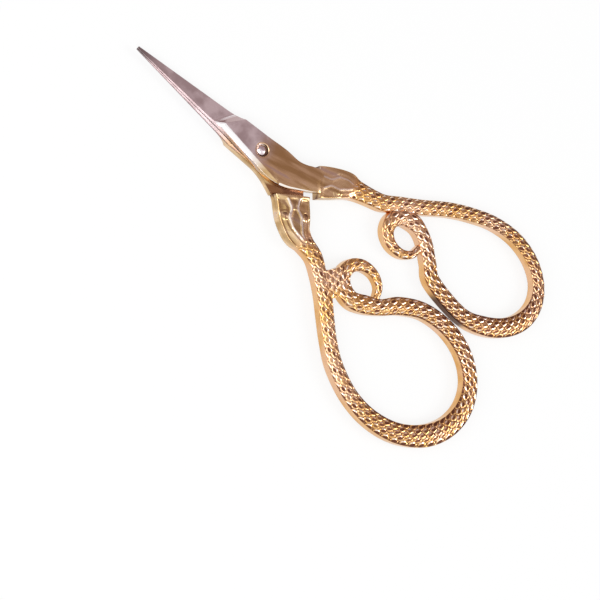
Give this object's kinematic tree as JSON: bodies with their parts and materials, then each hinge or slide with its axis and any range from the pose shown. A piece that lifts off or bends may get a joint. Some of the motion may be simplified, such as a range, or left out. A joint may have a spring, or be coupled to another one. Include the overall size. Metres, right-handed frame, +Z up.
{
  "type": "embroidery scissors",
  "caption": "Small embroidery scissors with slim pointed steel blades on one rivet and gilt snake handles whose bodies form the finger bows and whose tails curl into loops.",
  "frame": {"origin": "on the pivot axis, in the plane that the closed scissors lie on", "axes": "+X from the pivot to the points along the closed blades, +Z up out of the face with the rivet's dome, +Y to the side of the larger bow"},
  "size_m": [0.1104, 0.0594, 0.0037],
  "materials": {
    "blade_steel": "polished stainless steel, gilt behind the pivot",
    "handle_gilt": "polished rose-gold plating with dark creases between the scales",
    "rivet_steel": "polished"
  },
  "bodies": {
    "back_half": {"back_blade": "blade_steel", "back_handle": "handle_gilt"},
    "front_half": {"front_blade": "blade_steel", "front_handle": "handle_gilt", "pivot_rivet": "rivet_steel"}
  },
  "joints": [
    {"name": "blade_pivot", "type": "hinge", "parent": "back_half", "child": "front_half", "pos_m": [0, 0, 0], "axis": [0, 0, 1], "range_deg": [0, 130]}
  ]
}
